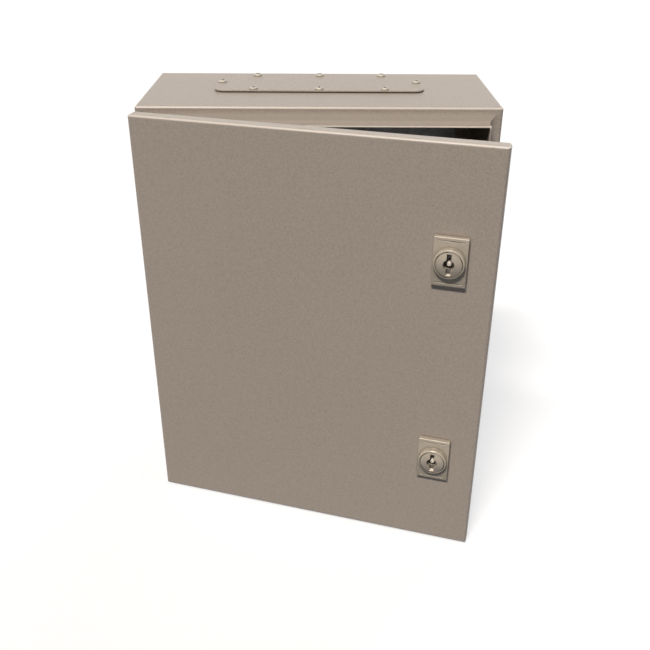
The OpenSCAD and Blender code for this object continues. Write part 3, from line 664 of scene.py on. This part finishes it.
def door_seal_bead():
    """Poured foam bead: a crowned section with feathered feet, the lip's press line and an uneven pour."""
    lo, hi = closed_box("door_seal")
    path, section = bead_path(lo, hi), bead_section()
    verts = []
    for x, z, nx, nz in path:
        sway = noise.noise(Vector((x * SWAY_SCALE, SWAY_LAYER, z * SWAY_SCALE)))
        swell = noise.noise(Vector((x * SWELL_SCALE, SWELL_LAYER, z * SWELL_SCALE)))
        for u, h in section:
            out = BEAD_HALF_WIDTH * u * (1 - SWELL_WIDTH + SWELL_WIDTH * swell) + SWAY * sway
            up = (hi.y - lo.y) * h * (1 - SWELL_HEIGHT + SWELL_HEIGHT * swell)
            verts.append(door_turn @ Vector((x + nx * out, lo.y + up, z + nz * out)))
    faces = loop_faces(len(path), len(section), True)
    bead = mesh_piece("door_seal_bead", verts, faces, "door", "foam", BEAD_SMOOTH_ANGLE)
    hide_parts("door_seal")


# Studs: M8 on a shoulder behind the mounting plate, M6 on a weld collar for the earth
THREAD_DEPTH = 0.549
RIDGE_SLOPE, RIDGE_ROOT = 1.35, 0.12
BAR_SIDES, ROWS_PER_TURN, COLLAR_SIDES = 28, 6, 40
STUD_D, STUD_PITCH, STUD_CHAMFER = 0.008, 0.00125, 0.0008
SHOULDER_R, SHOULDER_H = 0.007, 0.012
SHOULDER_PROFILE = (
    (SHOULDER_R - 0.0004, 0.0), (SHOULDER_R, 0.0004), (SHOULDER_R, SHOULDER_H - 0.0005),
    (SHOULDER_R - 0.0005, SHOULDER_H), (STUD_D / 2, SHOULDER_H),
)
EARTH_D, EARTH_PITCH, EARTH_CHAMFER = 0.006, 0.001, 0.0006
COLLAR_R, COLLAR_H = 0.006, 0.0012
COLLAR_PROFILE = (
    (COLLAR_R - 0.0002, 0.0), (COLLAR_R, 0.0002), (COLLAR_R, COLLAR_H - 0.0002),
    (COLLAR_R - 0.0002, COLLAR_H), (EARTH_D / 2, COLLAR_H),
)


def threaded_bar(verts, faces, place, d, pitch, length, plain, chamfer):
    """A bar along +z from 0 to length: plain at its foot, then a rolled thread and a chamfered end."""
    rows = int(round((length - plain) / pitch * ROWS_PER_TURN)) + 1
    levels = [0.0] + [plain + (length - plain) * k / (rows - 1) for k in range(rows)]
    rings = []
    for i, z in enumerate(levels):
        run_in = min(1.0, (z - plain) / pitch) if i > 1 else 0.0
        end_r = d / 2 - chamfer + max(0.0, length - z)
        ring = []
        for j in range(BAR_SIDES):
            phase = (z / pitch - j / BAR_SIDES) % 1.0
            ridge = min(1.0, max(0.0, abs(2 * phase - 1) * RIDGE_SLOPE - RIDGE_ROOT))
            ring.append((min(d / 2 - THREAD_DEPTH * pitch * (1 - ridge) * run_in, end_r), z))
        rings.append(ring)
    add_rings(verts, faces, place, rings)


def turned(verts, faces, place, profile):
    """A solid turned about z from (radius, height) points."""
    add_rings(verts, faces, place, [[point] * COLLAR_SIDES for point in profile])


def mounting_studs():
    """The four welded studs of the mounting plate, with rolled threads in place of the plain bars."""
    lo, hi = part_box("mounting_plate_studs")
    verts, faces = [], []
    for x in (lo.x + SHOULDER_R, hi.x - SHOULDER_R):
        for z in (lo.z + SHOULDER_R, hi.z - SHOULDER_R):
            place = place_along((x, hi.y, z), (0, -1, 0))
            threaded_bar(verts, faces, place, STUD_D, STUD_PITCH, hi.y - lo.y, SHOULDER_H, STUD_CHAMFER)
            turned(verts, faces, place, SHOULDER_PROFILE)
    piece = mesh_piece("threaded_studs", verts, faces, "enclosure", "bright_zinc")
    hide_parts("mounting_plate_studs")


def earth_stud(node, body, corners, axis, turn):
    """An earth stud with a rolled thread along +x (axis 0) or +y (axis 1)."""
    lo, hi = corners
    foot = (lo + hi) / 2
    foot[axis] = lo[axis]
    direction = Vector((0, 0, 0))
    direction[axis] = 1
    place = turn @ place_along(foot, direction)
    verts, faces = [], []
    threaded_bar(verts, faces, place, EARTH_D, EARTH_PITCH, hi[axis] - lo[axis], COLLAR_H, EARTH_CHAMFER)
    turned(verts, faces, place, COLLAR_PROFILE)
    piece = mesh_piece("threaded_" + node, verts, faces, body, "bright_zinc")
    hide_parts(node)


door_seal_bead()
mounting_studs()
earth_stud("body_earth_stud", "enclosure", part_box("body_earth_stud"), 0, Matrix.Identity(4))
earth_stud("door_earth_stud", "door", closed_box("door_earth_stud"), 1, door_turn)


# Studio

def seen_directly(tree):
    """1 for rays from the camera and for reflections and refractions, 0 for light that bounces about."""
    path = add(tree, "ShaderNodeLightPath")
    direct = math_node(tree, "MAXIMUM", path.outputs["Is Camera Ray"], path.outputs["Is Glossy Ray"])
    return math_node(tree, "MAXIMUM", direct, path.outputs["Is Transmission Ray"])


def studio_floor():
    """A floor that shows white with the object's shadow, and gives back little light."""
    h, z = FLOOR_HALF, FLOOR_Z
    mesh = bpy.data.meshes.new("studio_floor")
    mesh.from_pydata([(-h, -h, z), (h, -h, z), (h, h, z), (-h, h, z)], [], [(0, 1, 2, 3)])
    placed("studio_floor", mesh)
    mat = bpy.data.materials.new("studio_floor")
    tree, surface = empty_tree(mat, "ShaderNodeOutputMaterial")
    lit = add(tree, "ShaderNodeBsdfDiffuse", {"Color": opaque((FLOOR_SHOWN,) * 3)})
    glow = add(tree, "ShaderNodeEmission", {"Color": opaque(WHITE), "Strength": FLOOR_GLOW})
    shown = add(tree, "ShaderNodeAddShader", {0: lit.outputs[0], 1: glow.outputs[0]})
    bounce = add(tree, "ShaderNodeBsdfDiffuse", {"Color": opaque(FLOOR_BOUNCE)})
    mix = add(tree, "ShaderNodeMixShader", {0: seen_directly(tree), 1: bounce.outputs[0], 2: shown.outputs[0]})
    feed(tree, surface, mix.outputs[0])
    mesh.materials.append(mat)


def sun(name, level, elevation, azimuth, angle, colour, mirrored=True):
    """A wide lamp; a level of 1 lights a facing surface so that its colour shows as written."""
    lamp = bpy.data.lights.new(name, "SUN")
    lamp.energy = level * pi
    lamp.angle = radians(angle)
    lamp.color = colour
    obj = placed(name, lamp)
    obj.visible_glossy = mirrored
    a, e = radians(azimuth), radians(elevation)
    towards = Vector((sin(a) * cos(e), -cos(a) * cos(e), sin(e)))
    obj.rotation_mode = "QUATERNION"
    obj.rotation_quaternion = towards.to_track_quat("Z", "Y")


def studio_world():
    """A world that shows white and gives a little light."""
    world = bpy.data.worlds.new("studio_world")
    bpy.context.scene.world = world
    tree, surface = empty_tree(world, "ShaderNodeOutputWorld")
    shown = add(tree, "ShaderNodeBackground", {"Color": opaque(WHITE), "Strength": 1.0})
    light = add(tree, "ShaderNodeBackground", {"Color": opaque(WORLD_COLOUR), "Strength": WORLD_LEVEL})
    mix = add(tree, "ShaderNodeMixShader", {0: seen_directly(tree), 1: light.outputs[0], 2: shown.outputs[0]})
    feed(tree, surface, mix.outputs[0])


def camera():
    data = bpy.data.cameras.new("camera")
    data.sensor_fit = "HORIZONTAL"
    data.sensor_width = SENSOR_MM
    data.lens = FOCAL_PX * SENSOR_MM / IMAGE_PX
    data.clip_start, data.clip_end = CAMERA_CLIP
    obj = placed("camera", data)
    turn = Matrix((CAMERA_X, CAMERA_Y, CAMERA_Z)).transposed().to_4x4()
    obj.matrix_world = Matrix.Translation(CAMERA_AT) @ turn
    bpy.context.scene.camera = obj


studio_floor()
for number, azimuth in enumerate(KEY_AZIMUTHS, 1):
    sun(f"key_light_{number}", KEY_LEVEL / len(KEY_AZIMUTHS), KEY_ELEVATION, azimuth, KEY_ANGLE, KEY_COLOUR)
sun("back_light", BACK_LEVEL, BACK_ELEVATION, BACK_AZIMUTH, BACK_ANGLE, BACK_COLOUR, mirrored=False)
studio_world()
camera()
bpy.context.scene.view_settings.view_transform = "Standard"
